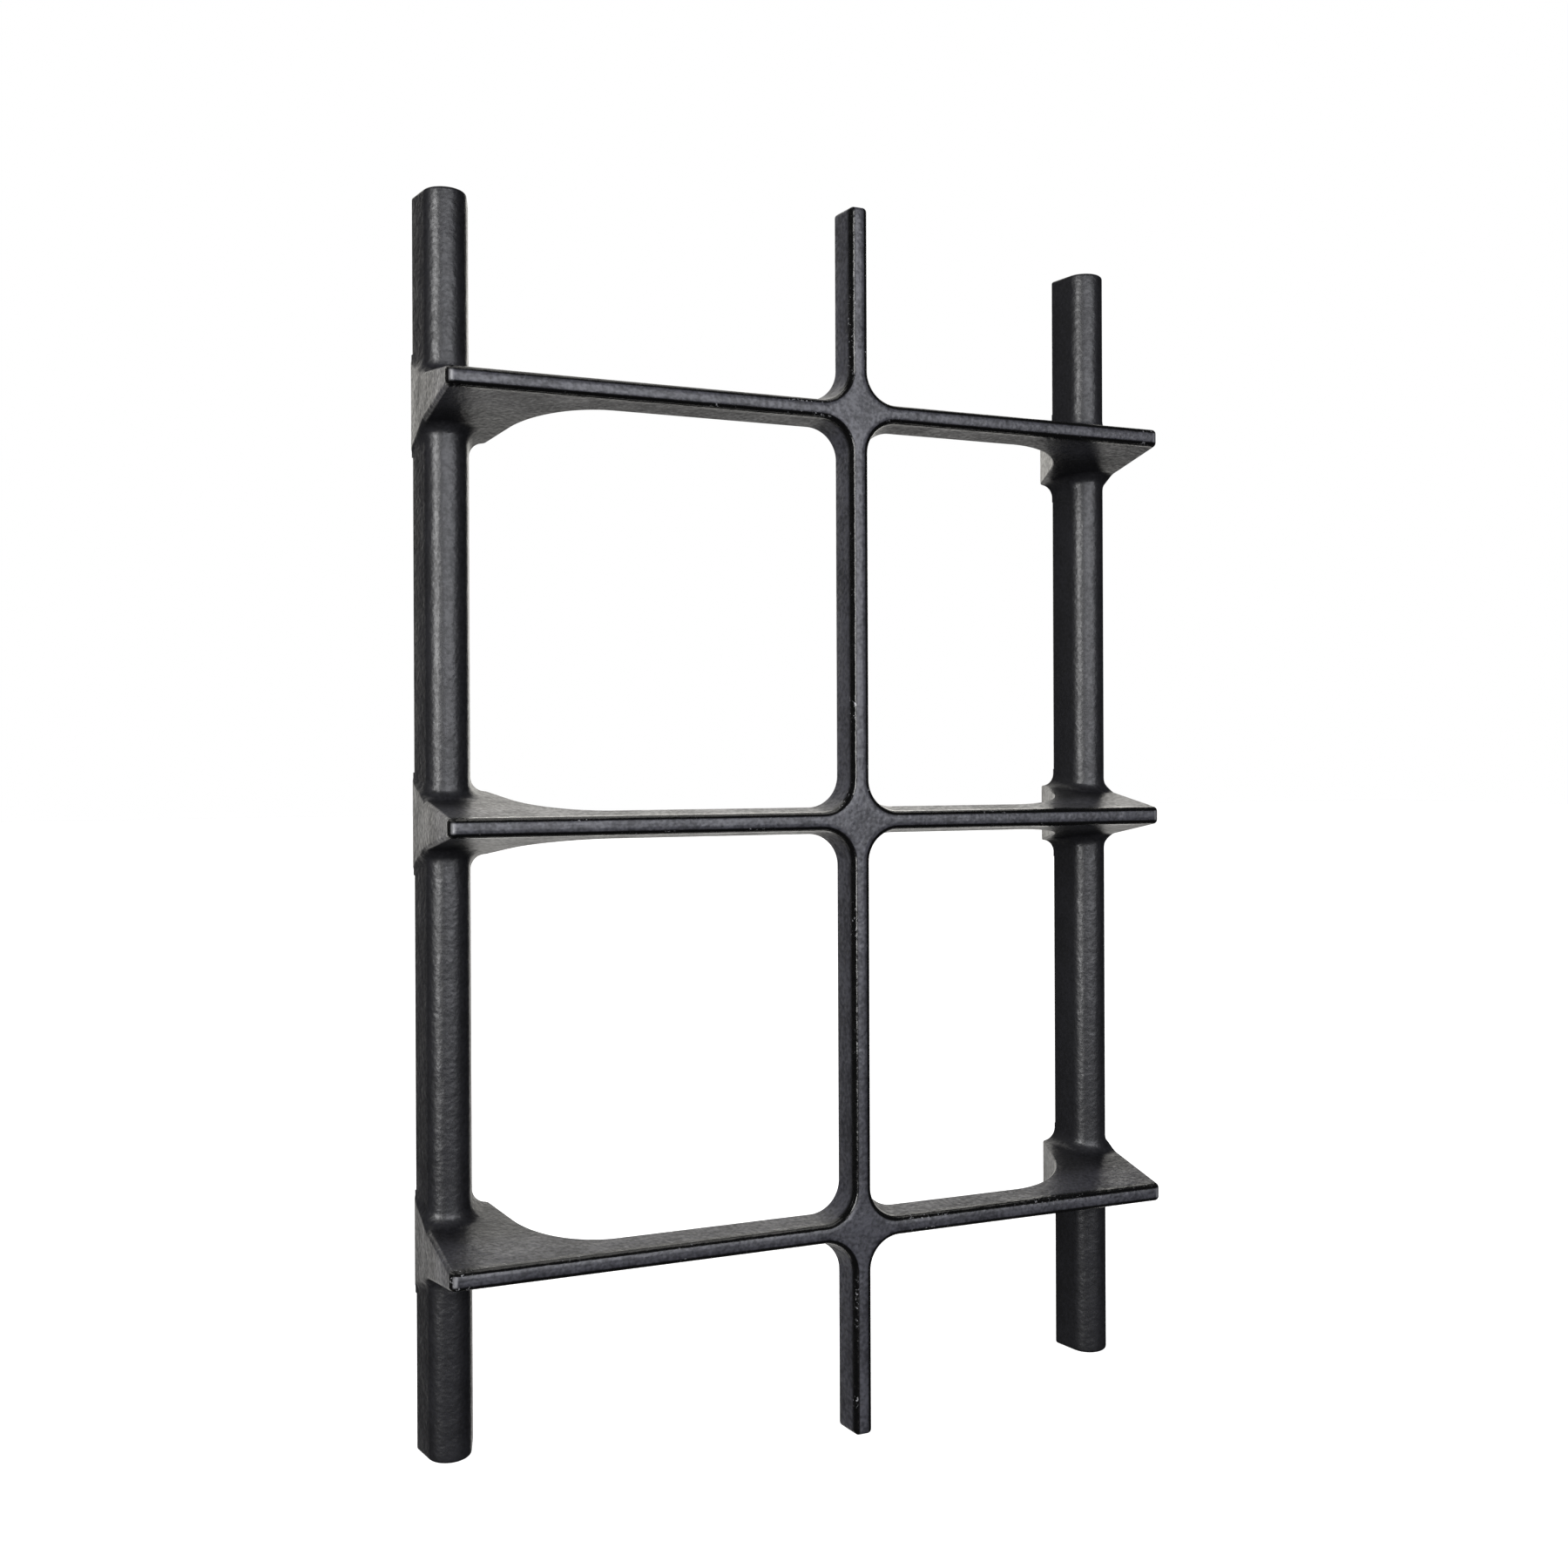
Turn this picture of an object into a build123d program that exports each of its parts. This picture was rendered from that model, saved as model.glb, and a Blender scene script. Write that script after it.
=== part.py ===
"""Window security bar: a ladder grille section of cast rungs on tie rods.

X runs along the rungs, Y from the street side towards the wall, and Z up.
The origin is on the wall plane at the middle rung, halfway between the two columns of inserts.
Every cast face that looks forward carries draft, so each section grows towards the wall.
Each piece is drawn from the front plane at the centre bar, and save() sets it in that frame.
"""

import os

from build123d import *

# Grille layout, mm
RUNG_PITCH = 125.0
END_REACH = 62.5
RUNG_LENGTH = 234.0
CENTRE_BAR_OFFSET = 8.2
GRILLE_DEPTH = 43.0

# Cast sections
EDGE_THICKNESS = 5.2
WEB_DEPTH = 9.6
SIDE_DRAFT = 0.165
END_DRAFT = 0.07
FRONT_EDGE_RADIUS = 1.4
TIP_RADIUS = 2.2
BACK_EDGE_RADIUS = 0.5
STAR_RADIUS = 10.0

# Rails
RAIL_INSET = 5.7
RAIL_FRONT = 29.0
RAIL_NOSE_RADIUS = 6.6
RAIL_DRAFT = 0.24
RAIL_BACK_RADIUS = 0.8
COLLAR_RADIUS = 4.5
COLLAR_LAND = 1.2

# Hubs, measured from the rail's centre towards the centre bar
SWEEP_CORNER = 24.2
SWEEP_RADIUS = 28.0
HUB_INNER = 13.2
HUB_CORNER_RADIUS = 1.5

# Tie rods and what closes them
ROD_DIAMETER = 5.0
ROD_BEHIND_NOSE = 7.0
ROD_CLEARANCE = 0.2
NUT_FLATS = 8.0
NUT_HEIGHT = 4.0
WASHER_DIAMETER = 9.4
WASHER_THICKNESS = 1.0
POCKET_DIAMETER = 10.2
POCKET_DEPTH = 12.0
ROD_BEYOND_NUT = 1.5
THREAD_CLEARANCE = 0.05
CAP_THICKNESS = 3.0
CAP_SPIGOT_LENGTH = 4.0
CAP_CLEARANCE = 0.1
CAP_EDGE_RADIUS = 1.0

# Centre rod and its caps
CENTRE_ROD_DIAMETER = 3.0
CENTRE_ROD_DEPTH = 5.2
CENTRE_ROD_CLEARANCE = 0.15
CENTRE_ROD_IN_CAP = 8.0
CENTRE_CAP_LENGTH = 12.0
CENTRE_CAP_WALL = 3.0

# Threaded inserts in the hub backs, for concealed M6 screws
INSERT_DIAMETER = 7.0
INSERT_LENGTH = 12.0
INSERT_OFFSET = 7.6
INSERT_CLEARANCE = 0.05
THREAD_CORE_DIAMETER = 5.0

# Worked out from the sizes above
HALF_EDGE = EDGE_THICKNESS / 2
SPAN_LEFT = RUNG_LENGTH / 2 + CENTRE_BAR_OFFSET
SPAN_RIGHT = RUNG_LENGTH / 2 - CENTRE_BAR_OFFSET
RAIL_X = {"left": -SPAN_LEFT + RAIL_INSET, "right": SPAN_RIGHT - RAIL_INSET}
INWARD = {"left": 1, "right": -1}
RUNG_Z = {"top": RUNG_PITCH, "middle": 0.0, "bottom": -RUNG_PITCH}
GRILLE_TOP = RUNG_PITCH + END_REACH
NOSE_CENTRE = RAIL_FRONT + RAIL_NOSE_RADIUS
ROD_Y = RAIL_FRONT + ROD_BEHIND_NOSE
OVERCUT = 15.0


def half_height(depth):
    """Half the height of a drafted section at a depth behind the front plane."""
    return HALF_EDGE + SIDE_DRAFT * depth


# Where the cast stubs of a rung end and the bar lengths between rungs begin
STAR_REACH = half_height(WEB_DEPTH) + STAR_RADIUS + COLLAR_LAND
COLLAR_REACH = half_height(GRILLE_DEPTH) + COLLAR_RADIUS + COLLAR_LAND

# Heights of the top end, which the bottom end mirrors
RAIL_TOP = GRILLE_TOP - CAP_THICKNESS
POCKET_FLOOR = RAIL_TOP - POCKET_DEPTH
CENTRE_TOP = GRILLE_TOP - CENTRE_CAP_LENGTH

os.makedirs("parts", exist_ok=True)


def save(part, name):
    """Set a finished piece in the grille's frame, label it and write its STEP file."""
    placed = part.moved(Location((CENTRE_BAR_OFFSET, -GRILLE_DEPTH, 0)))
    placed.label = name
    export_step(placed, f"parts/{name}.step")


def save_both_ends(part, name):
    """Save a piece of the top end and its mirrored twin of the bottom end."""
    save(part, f"{name}_top")
    save(mirror(part, about=Plane.XY), f"{name}_bottom")


def rail_outline(x, back=GRILLE_DEPTH):
    """The rail's section: a round nose with drafted sides that run straight back."""
    nose = Vector(x, NOSE_CENTRE)
    slant = Vector(1, RAIL_DRAFT).normalized()
    reach = RAIL_NOSE_RADIUS * slant.X
    front = NOSE_CENTRE - RAIL_NOSE_RADIUS * slant.Y
    half_back = reach + RAIL_DRAFT * (back - front)
    with BuildSketch() as outline:
        with BuildLine():
            Polyline((x - reach, front), (x - half_back, back), (x + half_back, back), (x + reach, front))
            ThreePointArc((x - reach, front), (nose.X, RAIL_FRONT), (x + reach, front))
        make_face()
    return outline.sketch


def centre_outline():
    """The centre bar's section: a narrow front edge and drafted sides."""
    half_back = half_height(WEB_DEPTH)
    with BuildSketch() as outline:
        with BuildLine():
            Polyline(
                (-HALF_EDGE, 0),
                (HALF_EDGE, 0),
                (half_back, WEB_DEPTH),
                (-half_back, WEB_DEPTH),
                close=True,
            )
        make_face()
    return outline.sketch


def rung_plan():
    """A rung seen from above: thin web, concave sweeps back to the hubs, drafted ends."""
    end_growth = END_DRAFT * GRILLE_DEPTH
    with BuildSketch() as plan:
        with BuildLine():
            Polyline(
                (-SPAN_LEFT, 0),
                (-SPAN_LEFT - end_growth, GRILLE_DEPTH),
                (RAIL_X["left"] + HUB_INNER, GRILLE_DEPTH),
                (RAIL_X["left"] + SWEEP_CORNER, WEB_DEPTH),
                (RAIL_X["right"] - SWEEP_CORNER, WEB_DEPTH),
                (RAIL_X["right"] - HUB_INNER, GRILLE_DEPTH),
                (SPAN_RIGHT + end_growth, GRILLE_DEPTH),
                (SPAN_RIGHT, 0),
                close=True,
            )
        make_face()
        corners = plan.vertices().filter_by(lambda v: abs(v.Y - WEB_DEPTH) < 0.01)
        fillet(corners, SWEEP_RADIUS)
        backs = plan.vertices().group_by(Axis.Y)[-1].sort_by(Axis.X)[1:-1]
        fillet(backs, HUB_CORNER_RADIUS)
    return plan.sketch


def on_wedge(edge):
    """True for an edge whose middle lies on a rung's drafted top or bottom face."""
    middle = edge @ 0.5
    return abs(abs(middle.Z) - half_height(middle.Y)) < 0.01


def on_rail(edge):
    """True for an edge whose middle lies within the width of a rail."""
    middle = edge @ 0.5
    return any(abs(middle.X - x) < half_height(GRILLE_DEPTH) for x in RAIL_X.values())


def on_tip(edge):
    """True for the upright edges where a rung's front face meets its ends."""
    middle = edge @ 0.5
    return middle.Y < 0.01 and not RAIL_X["left"] < middle.X < RAIL_X["right"] and abs(middle.Z) < 0.01


def make_rung_blank():
    """One cast rung at the height of the origin, before its edges are eased and its holes are made."""
    far_back = GRILLE_DEPTH + OVERCUT
    length = SPAN_LEFT + SPAN_RIGHT + 4 * OVERCUT
    with BuildPart() as blank:
        # A wedge longer and deeper than the rung, with the two rails' stubs standing through it
        with BuildSketch(Plane.YZ.offset(-SPAN_LEFT - 2 * OVERCUT)):
            with BuildLine():
                Polyline(
                    (0, -HALF_EDGE),
                    (0, HALF_EDGE),
                    (far_back, half_height(far_back)),
                    (far_back, -half_height(far_back)),
                    close=True,
                )
            make_face()
        extrude(amount=length)
        for x in RAIL_X.values():
            with BuildSketch(Plane.XY):
                add(rail_outline(x, far_back))
            extrude(amount=COLLAR_REACH + OVERCUT, both=True)
        roots = blank.edges().filter_by(on_wedge).filter_by(on_rail)
        fillet(roots.filter_by(lambda e: (e @ 0.5).Y < far_back - 0.01), COLLAR_RADIUS)
        # Trimmed to the plan: thin web, sweeps, hubs and drafted ends
        with BuildSketch(Plane.XY):
            add(rung_plan())
        extrude(amount=COLLAR_REACH, both=True, mode=Mode.INTERSECT)
        # The star where the centre bar crosses
        with BuildSketch(Plane.XY):
            add(centre_outline())
        extrude(amount=STAR_REACH, both=True)
        crossings = blank.edges().filter_by(on_wedge).filter_by(
            lambda e: abs((e @ 0.5).X) < half_height(WEB_DEPTH)
        )
        fillet(crossings, STAR_RADIUS)
    return blank.part


def make_rung():
    """The finished rung: eased edges, rod holes and the sockets of the threaded inserts."""
    with BuildPart() as rung:
        add(make_rung_blank())
        uprights = rung.edges().filter_by(Axis.Z).sort_by(Axis.X)
        fillet([edge for edge in uprights if on_tip(edge)], TIP_RADIUS)
        front = rung.faces().sort_by(Axis.Y)[0].edges().filter_by(lambda e: not on_tip(e))
        fillet(front.filter_by(lambda e: abs(abs((e @ 0.5).Z) - STAR_REACH) > 0.01), FRONT_EDGE_RADIUS)
        webs = rung.edges().filter_by(on_wedge).filter_by(lambda e: abs((e @ 0.5).Y - WEB_DEPTH) < 0.01)
        fillet(webs, BACK_EDGE_RADIUS)
        for x in RAIL_X.values():
            with Locations((x, ROD_Y, 0)):
                Cylinder(ROD_DIAMETER / 2 + ROD_CLEARANCE, 4 * COLLAR_REACH, mode=Mode.SUBTRACT)
        with Locations((0, CENTRE_ROD_DEPTH, 0)):
            Cylinder(
                CENTRE_ROD_DIAMETER / 2 + CENTRE_ROD_CLEARANCE, 4 * STAR_REACH, mode=Mode.SUBTRACT
            )
        with BuildSketch(Plane.XZ.offset(-GRILLE_DEPTH)):
            with Locations(*[(insert_x(side), 0) for side in RAIL_X]):
                Circle(INSERT_DIAMETER / 2 + INSERT_CLEARANCE)
        extrude(amount=INSERT_LENGTH, mode=Mode.SUBTRACT)
    return rung.part


def insert_x(side):
    """Where the threaded insert of a side stands: beside the tie rod, towards the centre bar."""
    return RAIL_X[side] + INWARD[side] * INSERT_OFFSET


def make_insert(side, height):
    """A threaded insert, flush with the hub's back; its bore is the thread's core."""
    with BuildPart() as insert:
        with BuildSketch(Plane.XZ.offset(-GRILLE_DEPTH)):
            with Locations((insert_x(side), height)):
                Circle(INSERT_DIAMETER / 2)
                Circle(THREAD_CORE_DIAMETER / 2, mode=Mode.SUBTRACT)
        extrude(amount=INSERT_LENGTH)
    return insert.part


def make_rail_length(side, low, high):
    """A length of rail between two collars, bored for its tie rod."""
    with BuildPart() as rail:
        with BuildSketch(Plane.XY.offset(low)):
            add(rail_outline(RAIL_X[side]))
        extrude(amount=high - low)
        fillet(rail.edges().filter_by(Axis.Z).group_by(Axis.Y)[-1], RAIL_BACK_RADIUS)
        with Locations((RAIL_X[side], ROD_Y, high)):
            Hole(ROD_DIAMETER / 2 + ROD_CLEARANCE)
    return rail.part


def make_rail_end(side):
    """The rail's last length, with the pocket that hides the nut."""
    with BuildPart() as rail:
        add(make_rail_length(side, RUNG_PITCH + COLLAR_REACH, RAIL_TOP))
        with Locations((RAIL_X[side], ROD_Y, RAIL_TOP)):
            Hole(POCKET_DIAMETER / 2, depth=POCKET_DEPTH)
    return rail.part


def make_end_cap(side):
    """A cap of the rail's own section, held in the pocket by its spigot."""
    with BuildPart() as cap:
        with BuildSketch(Plane.XY.offset(RAIL_TOP)):
            add(rail_outline(RAIL_X[side]))
        extrude(amount=CAP_THICKNESS)
        fillet(cap.edges().filter_by(Axis.Z).group_by(Axis.Y)[-1], RAIL_BACK_RADIUS)
        fillet(cap.faces().sort_by(Axis.Z)[-1].edges(), CAP_EDGE_RADIUS)
        with BuildSketch(Plane.XY.offset(RAIL_TOP)):
            with Locations((RAIL_X[side], ROD_Y)):
                Circle(POCKET_DIAMETER / 2 - CAP_CLEARANCE)
        extrude(amount=-CAP_SPIGOT_LENGTH)
    return cap.part


def make_tie_rod(side):
    """The rod that runs through a rail's lengths and all its hubs."""
    with BuildPart() as rod:
        with Locations((RAIL_X[side], ROD_Y, 0)):
            Cylinder(ROD_DIAMETER / 2, 2 * (POCKET_FLOOR + WASHER_THICKNESS + NUT_HEIGHT + ROD_BEYOND_NUT))
    return rod.part


def make_washer(side):
    """The washer on the pocket's floor."""
    with BuildPart() as washer:
        with BuildSketch(Plane.XY.offset(POCKET_FLOOR)):
            with Locations((RAIL_X[side], ROD_Y)):
                Circle(WASHER_DIAMETER / 2)
                Circle(ROD_DIAMETER / 2 + ROD_CLEARANCE, mode=Mode.SUBTRACT)
        extrude(amount=WASHER_THICKNESS)
    return washer.part


def make_nut(side):
    """The nut that clamps a rail's lengths and hubs together."""
    with BuildPart() as nut:
        with BuildSketch(Plane.XY.offset(POCKET_FLOOR + WASHER_THICKNESS)):
            with Locations((RAIL_X[side], ROD_Y)):
                RegularPolygon(NUT_FLATS / 2, 6, major_radius=False)
                Circle(ROD_DIAMETER / 2 + THREAD_CLEARANCE, mode=Mode.SUBTRACT)
        extrude(amount=NUT_HEIGHT)
    return nut.part


def ease_centre_bar(bar):
    """Round the front and back corners of a centre bar length, as the rungs' edges are."""
    uprights = bar.edges().filter_by(Axis.Z).group_by(Axis.Y)
    fillet(uprights[0], FRONT_EDGE_RADIUS)
    fillet(bar.edges().filter_by(Axis.Z).group_by(Axis.Y)[-1], BACK_EDGE_RADIUS)


def make_centre_length(low, high):
    """A length of the centre bar between two stars, bored for the centre rod."""
    with BuildPart() as bar:
        with BuildSketch(Plane.XY.offset(low)):
            add(centre_outline())
        extrude(amount=high - low)
        ease_centre_bar(bar)
        with Locations((0, CENTRE_ROD_DEPTH, high)):
            Hole(CENTRE_ROD_DIAMETER / 2 + CENTRE_ROD_CLEARANCE)
    return bar.part


def make_centre_cap():
    """The centre bar's end piece, threaded on the centre rod by a blind bore."""
    with BuildPart() as cap:
        with BuildSketch(Plane.XY.offset(CENTRE_TOP)):
            add(centre_outline())
        extrude(amount=CENTRE_CAP_LENGTH)
        ease_centre_bar(cap)
        fillet(cap.faces().sort_by(Axis.Z)[-1].edges(), FRONT_EDGE_RADIUS)
        with BuildSketch(Plane.XY.offset(CENTRE_TOP)):
            with Locations((0, CENTRE_ROD_DEPTH)):
                Circle(CENTRE_ROD_DIAMETER / 2 + THREAD_CLEARANCE)
        extrude(amount=CENTRE_CAP_LENGTH - CENTRE_CAP_WALL, mode=Mode.SUBTRACT)
    return cap.part


def make_centre_rod():
    """The rod through the centre bar's lengths and the three stars."""
    with BuildPart() as rod:
        with Locations((0, CENTRE_ROD_DEPTH, 0)):
            Cylinder(CENTRE_ROD_DIAMETER / 2, 2 * (CENTRE_TOP + CENTRE_ROD_IN_CAP))
    return rod.part


# The three rungs are one casting used three times
rung_casting = make_rung()
for level, rung_height in RUNG_Z.items():
    with BuildPart() as rung:
        with Locations((0, 0, rung_height)):
            add(rung_casting)
    save(rung.part, f"rung_{level}")

# Each rail with its rod, nuts, washers, caps and inserts
for rail_side in RAIL_X:
    upper_rail = make_rail_length(rail_side, COLLAR_REACH, RUNG_PITCH - COLLAR_REACH)
    save(upper_rail, f"rail_{rail_side}_upper")
    save(mirror(upper_rail, about=Plane.XY), f"rail_{rail_side}_lower")
    save_both_ends(make_rail_end(rail_side), f"rail_{rail_side}")
    save_both_ends(make_end_cap(rail_side), f"end_cap_{rail_side}")
    save_both_ends(make_washer(rail_side), f"washer_{rail_side}")
    save_both_ends(make_nut(rail_side), f"nut_{rail_side}")
    save(make_tie_rod(rail_side), f"tie_rod_{rail_side}")
    for level, rung_height in RUNG_Z.items():
        save(make_insert(rail_side, rung_height), f"insert_{rail_side}_{level}")

# The centre bar with its rod and caps
upper_bar = make_centre_length(STAR_REACH, RUNG_PITCH - STAR_REACH)
save(upper_bar, "centre_bar_upper")
save(mirror(upper_bar, about=Plane.XY), "centre_bar_lower")
save_both_ends(make_centre_length(RUNG_PITCH + STAR_REACH, CENTRE_TOP), "centre_bar")
save_both_ends(make_centre_cap(), "centre_cap")
save(make_centre_rod(), "centre_rod")
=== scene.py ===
"""Looks of the window security bar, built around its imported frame.

Lengths are in metres, in the row frame: X along the rungs, Y from the street into the wall, Z up.
"""

import logging
import math
from dataclasses import dataclass
from enum import Enum
from typing import Union

import bmesh
import bpy
import numpy as np
from mathutils import Matrix, Vector


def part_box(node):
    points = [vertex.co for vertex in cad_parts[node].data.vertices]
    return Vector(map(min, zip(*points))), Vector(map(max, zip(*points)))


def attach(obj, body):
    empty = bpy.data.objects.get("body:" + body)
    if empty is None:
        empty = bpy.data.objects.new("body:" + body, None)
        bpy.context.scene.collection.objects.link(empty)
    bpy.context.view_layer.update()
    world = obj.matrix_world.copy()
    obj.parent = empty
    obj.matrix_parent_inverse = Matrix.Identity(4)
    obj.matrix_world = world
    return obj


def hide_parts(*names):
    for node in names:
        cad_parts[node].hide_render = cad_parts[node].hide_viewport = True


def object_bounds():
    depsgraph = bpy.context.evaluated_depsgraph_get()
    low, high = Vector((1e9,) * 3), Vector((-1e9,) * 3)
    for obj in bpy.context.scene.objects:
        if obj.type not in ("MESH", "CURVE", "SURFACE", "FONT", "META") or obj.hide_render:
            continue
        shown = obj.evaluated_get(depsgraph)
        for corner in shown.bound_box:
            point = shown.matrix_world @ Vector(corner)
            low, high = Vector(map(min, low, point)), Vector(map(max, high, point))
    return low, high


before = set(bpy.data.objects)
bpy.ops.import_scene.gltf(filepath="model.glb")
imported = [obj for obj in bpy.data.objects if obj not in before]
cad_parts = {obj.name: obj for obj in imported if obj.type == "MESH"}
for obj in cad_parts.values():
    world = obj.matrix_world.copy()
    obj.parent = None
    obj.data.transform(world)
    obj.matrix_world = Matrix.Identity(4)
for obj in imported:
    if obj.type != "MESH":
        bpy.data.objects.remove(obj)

CAD_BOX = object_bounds()
MM = 0.001
HALF_EDGE = 2.6 * MM
STAR_RADIUS = 10.0 * MM
END_DRAFT = 0.07
FRONT_RADIUS = 1.4 * MM
SHARP_ANGLE = 32.0
MERGE_DISTANCE = 0.001 * MM
LEAST_RADIUS = 0.02 * MM
LEAST_LENGTH = 0.0001
WHITE = (1.0, 1.0, 1.0)
MIX_FACTOR, MIX_FIRST, MIX_SECOND, MIX_RESULT = 0, 6, 7, 2
PLACES = ("top", "upper", "lower", "bottom")
ENDS = ("top", "bottom")
log = logging.getLogger("window_bar")

Colour = tuple[float, float, float]
Value = Union["Signal", float, int, tuple]


class Level(Enum):
    """The heights at which a rung stands."""

    TOP = "top"
    MIDDLE = "middle"
    BOTTOM = "bottom"


class Side(Enum):
    """The two rails, as seen from the street."""

    LEFT = "left"
    RIGHT = "right"


# ---------------------------------------------------------------------------
# Shader maths
# ---------------------------------------------------------------------------


@dataclass
class Signal:
    """One output socket of a node, which Python's operators turn into more nodes."""

    graph: "Graph"
    socket: bpy.types.NodeSocket

    def _math(self, operation: str, first: Value, second: Value = 0.0) -> "Signal":
        """Return the value of a new Math node that works on one value or two."""
        return self.graph.add("ShaderNodeMath", {"operation": operation}, {0: first, 1: second})

    def __add__(self, other: Value) -> "Signal":
        """Return self + other."""
        return self._math("ADD", self, other)

    __radd__ = __add__

    def __sub__(self, other: Value) -> "Signal":
        """Return self - other."""
        return self._math("SUBTRACT", self, other)

    def __rsub__(self, other: Value) -> "Signal":
        """Return other - self."""
        return self._math("SUBTRACT", other, self)

    def __mul__(self, other: Value) -> "Signal":
        """Return self * other."""
        return self._math("MULTIPLY", self, other)

    __rmul__ = __mul__

    def __truediv__(self, other: Value) -> "Signal":
        """Return self / other."""
        return self._math("DIVIDE", self, other)

    def __abs__(self) -> "Signal":
        """Return the distance from zero."""
        return self._math("ABSOLUTE", self)

    def __pow__(self, other: Value) -> "Signal":
        """Return self to the power of other."""
        return self._math("POWER", self, other)

    def at_least(self, other: Value) -> "Signal":
        """Return the larger of the two values."""
        return self._math("MAXIMUM", self, other)

    def at_most(self, other: Value) -> "Signal":
        """Return the smaller of the two values."""
        return self._math("MINIMUM", self, other)

    def ease(self, low: float, high: float, start: float = 0.0, end: float = 1.0) -> "Signal":
        """Ease from one value to another over a span, with a smooth step.

        Args:
            low: Where the span begins.
            high: Where the span ends.
            start: The value up to low.
            end: The value from high on.

        Returns:
            The eased value.
        """
        settings = {"interpolation_type": "SMOOTHSTEP", "clamp": True}
        values = {"Value": self, "From Min": low, "From Max": high, "To Min": start, "To Max": end}
        return self.graph.add("ShaderNodeMapRange", settings, values)

    def fade(self, low: float, high: float) -> "Signal":
        """Return 1 up to low, 0 from high on, and an eased value between them."""
        return self.ease(low, high, 1.0, 0.0)


@dataclass
class Graph:
    """A material's node tree, with one method that adds any node."""

    tree: bpy.types.NodeTree

    def feed(self, node: bpy.types.Node, values: dict) -> None:
        """Set or link a node's sockets.

        Args:
            node: The node.
            values: What goes into each socket, by name or number: a Signal or a constant.
        """
        for name, value in values.items():
            socket = node.inputs[name]
            if isinstance(value, Signal):
                self.tree.links.new(value.socket, socket)
            elif socket.type == "RGBA":
                socket.default_value = (*value, 1.0)
            else:
                socket.default_value = value

    def add(
        self, kind: str, settings: dict = None, values: dict = None, output: Union[str, int] = 0
    ) -> Signal:
        """Add a node.

        Args:
            kind: The node's type.
            settings: Properties that are set before anything is linked.
            values: What goes into each socket, by name or number: a Signal or a constant.
            output: Which output socket to return.

        Returns:
            The chosen output.
        """
        node = self.tree.nodes.new(kind)
        for name, setting in (settings or {}).items():
            setattr(node, name, setting)
        self.feed(node, values or {})
        return Signal(self, node.outputs[output])

    def place(self) -> Signal:
        """Return the point being shaded, in metres in the row frame."""
        return self.add("ShaderNodeTexCoord", output="Object")

    def parts(self, point: Signal) -> tuple[Signal, Signal, Signal]:
        """Return a point's X, Y and Z."""
        split = self.add("ShaderNodeSeparateXYZ", values={0: point}).socket.node
        return tuple(Signal(self, socket) for socket in split.outputs)

    def grain(self, point: Signal, size: float, detail: float = 2.0) -> Signal:
        """Return noise from 0 to 1 at a point, in blotches about one size across, in metres."""
        values = {"Vector": point, "Scale": 1.0 / size, "Detail": detail}
        return self.add("ShaderNodeTexNoise", {"noise_dimensions": "3D"}, values)

    def blend(self, factor: Value, first: Value, second: Value) -> Signal:
        """Return a mix of two colours, which is the first at a factor of 0 and the second at 1."""
        sockets = {MIX_FACTOR: factor, MIX_FIRST: first, MIX_SECOND: second}
        return self.add("ShaderNodeMix", {"data_type": "RGBA"}, sockets, MIX_RESULT)

    def bump(self, height: Signal, depth: float, under: Signal = None) -> Signal:
        """Turn a height from 0 to 1 into a surface normal.

        Args:
            height: The height.
            depth: How far 1 stands above 0, in metres.
            under: The normal that it starts from, if not the surface's own.

        Returns:
            The normal.
        """
        values = {"Height": height, "Distance": depth, "Strength": 1.0}
        if under is not None:
            values["Normal"] = under
        return self.add("ShaderNodeBump", values=values)


def new_material(name: str) -> tuple[bpy.types.Material, Graph, bpy.types.Node]:
    """Make an empty material with a Principled shader.

    Args:
        name: The material's name.

    Returns:
        The material, its graph and its shader node.
    """
    material = bpy.data.materials.new(name)
    material.use_nodes = True
    tree = material.node_tree
    tree.nodes.clear()
    shader = tree.nodes.new("ShaderNodeBsdfPrincipled")
    out = tree.nodes.new("ShaderNodeOutputMaterial")
    tree.links.new(shader.outputs[0], out.inputs[0])
    return material, Graph(tree), shader


# ---------------------------------------------------------------------------
# Layout, read from the frame
# ---------------------------------------------------------------------------


@dataclass(frozen=True)
class Layout:
    """Where the grille's main lines run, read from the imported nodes."""

    front: float
    bar_x: float
    rung_heights: tuple[float, float, float]
    tips: tuple[float, float]

    @classmethod
    def from_frame(cls) -> "Layout":
        """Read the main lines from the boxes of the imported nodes.

        Returns:
            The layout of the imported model.
        """
        rungs = [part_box(f"rung_{level.value}") for level in Level]
        low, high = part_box("centre_bar_upper")
        first, last = rungs[0]
        taper = END_DRAFT * (last.y - first.y)
        return cls(
            front=low.y,
            bar_x=(low.x + high.x) / 2,
            rung_heights=tuple((a.z + b.z) / 2 for a, b in rungs),
            tips=(first.x + taper, last.x - taper),
        )


# ---------------------------------------------------------------------------
# Surfaces
# ---------------------------------------------------------------------------


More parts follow.
